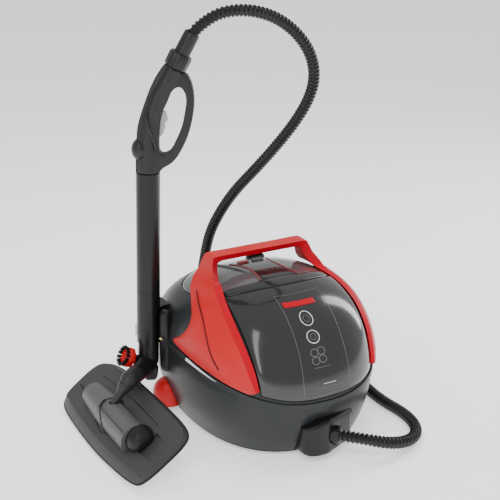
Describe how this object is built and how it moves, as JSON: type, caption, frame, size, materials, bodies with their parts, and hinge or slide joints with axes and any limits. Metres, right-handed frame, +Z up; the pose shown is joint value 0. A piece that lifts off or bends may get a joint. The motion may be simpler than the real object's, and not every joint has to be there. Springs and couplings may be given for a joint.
{
  "type": "canister steam cleaner",
  "caption": "Canister steam cleaner with carry handle, castors, a ribbed steam hose, a steam gun, an extension wand and a hinged floor brush.",
  "frame": {"origin": "bottom centre of the bounding box without the hose and its plug, on the floor", "axes": "+Z up, the longest extent; the machine's nose faces -Y; +X is the machine's right side seen from the front of the row's camera"},
  "size_m": [0.5377, 0.5738, 0.6925],
  "materials": {
    "charcoal": "charcoal satin plastic",
    "deep_red": "salmon red glossy plastic",
    "smoked_window": "smoked glossy plastic",
    "black_plastic": "black matte plastic",
    "dark_grey_plastic": "dark grey satin plastic",
    "pale_grey_plastic": "pale grey plastic",
    "white_plastic": "white glossy plastic",
    "amber_light": "lit amber plastic",
    "hose_rubber": "ribbed black hose",
    "wheel_rubber": "black wheel",
    "steel": "bare steel",
    "brass_fitting": "brass",
    "boiler_metal": "cast aluminium",
    "bristle": "black nylon bristles",
    "cloth": "white looped cloth",
    "circuit_board": "green circuit board"
  },
  "bodies": {
    "machine": {"lower_housing": "charcoal", "upper_housing": "charcoal", "base_plate": "black_plastic", "belt_trim": "dark_grey_plastic", "front_window": "smoked_window", "trim_band": "black_plastic", "side_panel_left": "deep_red", "side_panel_right": "deep_red", "accent_strips": "white_plastic", "carry_handle": "deep_red", "control_panel": "black_plastic", "indicator_lights": "amber_light", "socket_housing": "dark_grey_plastic", "steam_socket": "brass_fitting", "hose_plug": "black_plastic", "steam_hose": "hose_rubber", "wand_dock": "black_plastic", "castor_hood_rear_left": "deep_red", "castor_hood_rear_right": "deep_red", "boiler": "boiler_metal", "heating_element": "steel", "thermostat": "brass_fitting", "water_tank": "pale_grey_plastic", "pump": "black_plastic", "solenoid_valve": "brass_fitting", "control_board": "circuit_board", "inner_pipes": "brass_fitting", "mains_inlet": "black_plastic", "housing_screws": "steel"},
    "wand": {"gun_shell_left": "dark_grey_plastic", "gun_shell_right": "dark_grey_plastic", "upper_tube": "dark_grey_plastic", "lower_tube": "dark_grey_plastic", "elbow_body": "black_plastic", "hose_cuff": "dark_grey_plastic"},
    "trigger": {"steam_trigger": "pale_grey_plastic"},
    "lock": {"lock_button": "dark_grey_plastic"},
    "collar": {"hose_collar": "black_plastic"},
    "latch": {"tube_latch": "white_plastic"},
    "lever": {"release_lever": "black_plastic"},
    "bristle_brush": {"round_brush": "deep_red", "round_brush_bristles": "bristle"},
    "drum": {"pivot_drum": "dark_grey_plastic"},
    "floor_brush": {"brush_plate": "dark_grey_plastic", "hump_cover": "dark_grey_plastic", "hump_tail": "dark_grey_plastic", "cloth_frame": "black_plastic", "cloth_pad": "cloth"},
    "main_rocker": {"power_switch": "amber_light"},
    "heat_rocker": {"boiler_switch": "pale_grey_plastic"},
    "tank_cap": {"filler_cap": "black_plastic"},
    "fork_rear_left": {"castor_fork_rear_left": "black_plastic"},
    "wheel_rear_left": {"castor_wheel_rear_left": "wheel_rubber"},
    "fork_rear_right": {"castor_fork_rear_right": "black_plastic"},
    "wheel_rear_right": {"castor_wheel_rear_right": "wheel_rubber"},
    "fork_front_left": {"castor_fork_front_left": "black_plastic"},
    "wheel_front_left": {"castor_wheel_front_left": "wheel_rubber"},
    "fork_front_right": {"castor_fork_front_right": "black_plastic"},
    "wheel_front_right": {"castor_wheel_front_right": "wheel_rubber"}
  },
  "joints": [
    {"name": "wand_lift", "type": "slide", "parent": "machine", "child": "wand", "axis": [0, 0, 1], "range_m": [0, 0.035], "deforming": ["steam_hose"]},
    {"name": "trigger_squeeze", "type": "hinge", "parent": "wand", "child": "trigger", "pos_m": [-0.08288, 0.05695, 0.52427], "axis": [0.4848, 0.8746, 0], "range_deg": [0, 8], "stiffness_Nm_per_rad": 0.6, "springref_deg": -1.15},
    {"name": "lock_press", "type": "slide", "parent": "wand", "child": "lock", "axis": [0.8743, -0.4846, -0.0279], "range_m": [0, 0.003], "stiffness_N_per_m": 400, "springref_m": -0.0005},
    {"name": "collar_turn", "type": "hinge", "parent": "wand", "child": "collar", "pos_m": [-0.06012, 0.04433, 0.59657], "axis": [0.4152, -0.2302, 0.8801], "continuous": true},
    {"name": "latch_press", "type": "slide", "parent": "wand", "child": "latch", "axis": [0.8743, -0.4846, -0.0279], "range_m": [0, 0.0022], "stiffness_N_per_m": 500, "springref_m": -0.0005},
    {"name": "lever_press", "type": "hinge", "parent": "wand", "child": "lever", "pos_m": [-0.10065, 0.0668, 0.08367], "axis": [0.4848, 0.8746, 0], "range_deg": [0, 5], "stiffness_Nm_per_rad": 0.4, "springref_deg": -1.15},
    {"name": "bristle_brush_turn", "type": "hinge", "parent": "wand", "child": "bristle_brush", "pos_m": [-0.13923, 0.07265, 0.10498], "axis": [-0.8813, 0.0317, 0.4716], "continuous": true},
    {"name": "neck_swivel", "type": "hinge", "parent": "wand", "child": "drum", "pos_m": [-0.20214, 0.0056, 0.06505], "axis": [0, 0, 1], "range_deg": [-9, 9]},
    {"name": "brush_pitch", "type": "hinge", "parent": "drum", "child": "floor_brush", "pos_m": [-0.20214, 0.0056, 0.04405], "axis": [0, 1, 0], "range_deg": [0, 32]},
    {"name": "power_switch_tilt", "type": "hinge", "parent": "machine", "child": "main_rocker", "pos_m": [0.05588, 0.0376, 0.2502], "axis": [1, 0, 0], "range_deg": [0, 8]},
    {"name": "boiler_switch_tilt", "type": "hinge", "parent": "machine", "child": "heat_rocker", "pos_m": [0.08389, 0.0376, 0.2502], "axis": [1, 0, 0], "range_deg": [0, 8]},
    {"name": "filler_cap_turn", "type": "hinge", "parent": "machine", "child": "tank_cap", "pos_m": [0.10189, 0.0776, 0.245], "axis": [0, 0, 1], "continuous": true},
    {"name": "castor_swivel_rear_left", "type": "hinge", "parent": "machine", "child": "fork_rear_left", "pos_m": [-0.07512, 0.0676, 0.03], "axis": [0, 0, 1], "continuous": true},
    {"name": "wheel_spin_rear_left", "type": "hinge", "parent": "fork_rear_left", "child": "wheel_rear_left", "pos_m": [-0.07512, 0.0746, 0.013], "axis": [1, 0, 0], "continuous": true},
    {"name": "castor_swivel_rear_right", "type": "hinge", "parent": "machine", "child": "fork_rear_right", "pos_m": [0.21888, 0.0676, 0.03], "axis": [0, 0, 1], "continuous": true},
    {"name": "wheel_spin_rear_right", "type": "hinge", "parent": "fork_rear_right", "child": "wheel_rear_right", "pos_m": [0.21888, 0.0746, 0.013], "axis": [1, 0, 0], "continuous": true},
    {"name": "castor_swivel_front_left", "type": "hinge", "parent": "machine", "child": "fork_front_left", "pos_m": [0.00188, -0.1074, 0.03], "axis": [0, 0, 1], "continuous": true},
    {"name": "wheel_spin_front_left", "type": "hinge", "parent": "fork_front_left", "child": "wheel_front_left", "pos_m": [0.00188, -0.1004, 0.013], "axis": [1, 0, 0], "continuous": true},
    {"name": "castor_swivel_front_right", "type": "hinge", "parent": "machine", "child": "fork_front_right", "pos_m": [0.14189, -0.1074, 0.03], "axis": [0, 0, 1], "continuous": true},
    {"name": "wheel_spin_front_right", "type": "hinge", "parent": "fork_front_right", "child": "wheel_front_right", "pos_m": [0.14189, -0.1004, 0.013], "axis": [1, 0, 0], "continuous": true}
  ]
}
